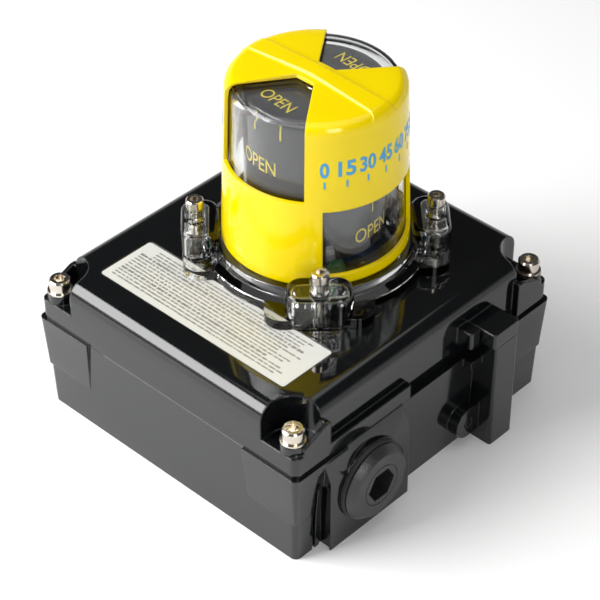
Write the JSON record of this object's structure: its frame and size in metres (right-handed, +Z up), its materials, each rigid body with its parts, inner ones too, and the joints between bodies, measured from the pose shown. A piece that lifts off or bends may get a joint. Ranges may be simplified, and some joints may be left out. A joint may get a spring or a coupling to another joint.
{
  "type": "valve limit switch box",
  "caption": "Square black switch enclosure with a domed rotary position indicator, drive shaft and cams inside, a plugged and an open conduit entry.",
  "frame": {"origin": "drive shaft axis on the mounting face of the base", "axes": "+Z up along the drive shaft, -Y towards the nameplate side, +X towards the plugged conduit entry"},
  "size_m": [0.1525, 0.1476, 0.1503],
  "materials": {
    "housing_resin": "moulded gloss black filled resin",
    "seal_rubber": "matt black",
    "bronze": "sintered satin",
    "plated_steel": "zinc plated",
    "sensor_resin": "moulded satin",
    "stainless": "turned and polished",
    "terminal_resin": "moulded satin",
    "brass": "turned",
    "plug_resin": "fine textured moulding",
    "white_resin": "machined",
    "cam_resin_red": "moulded",
    "cam_resin_green": "moulded",
    "rotor_black": "moulded gloss",
    "clear_resin": "clear polished moulding",
    "yellow_resin": "moulded gloss yellow"
  },
  "bodies": {
    "case": {"base_housing": "housing_resin", "lid_gasket": "seal_rubber", "lower_bushing": "bronze", "upper_bushing": "bronze", "sensor_bracket": "plated_steel", "lower_sensor": "sensor_resin", "upper_sensor": "sensor_resin", "sensor_screws": "stainless", "bracket_screws": "stainless", "terminal_strip": "terminal_resin", "terminal_screws": "plated_steel", "strip_screws": "stainless", "earth_screw": "brass", "earth_washer": "brass", "conduit_plug": "plug_resin", "plug_seal": "seal_rubber"},
    "shaft_assembly": {"shaft": "stainless", "shaft_seal": "seal_rubber", "thrust_washer": "white_resin", "retaining_ring": "plated_steel", "lower_cam": "cam_resin_red", "upper_cam": "cam_resin_green", "cam_magnets": "plated_steel", "cam_set_screws": "plated_steel", "indicator_rotor": "rotor_black", "rotor_screw": "stainless"},
    "lid_assembly": {"lid": "housing_resin", "lid_screws": "stainless", "lid_washers": "stainless", "indicator_dome": "clear_resin", "dome_gasket": "seal_rubber", "dome_screws": "stainless", "indicator_cover": "yellow_resin"}
  },
  "joints": [
    {"name": "shaft_turn", "type": "hinge", "parent": "case", "child": "shaft_assembly", "pos_m": [0, 0, 0.05], "axis": [0, 0, 1], "range_deg": [0, 90]},
    {"name": "lid_lift", "type": "slide", "parent": "case", "child": "lid_assembly", "axis": [0, 0, 1], "range_m": [0, 0.115]}
  ]
}
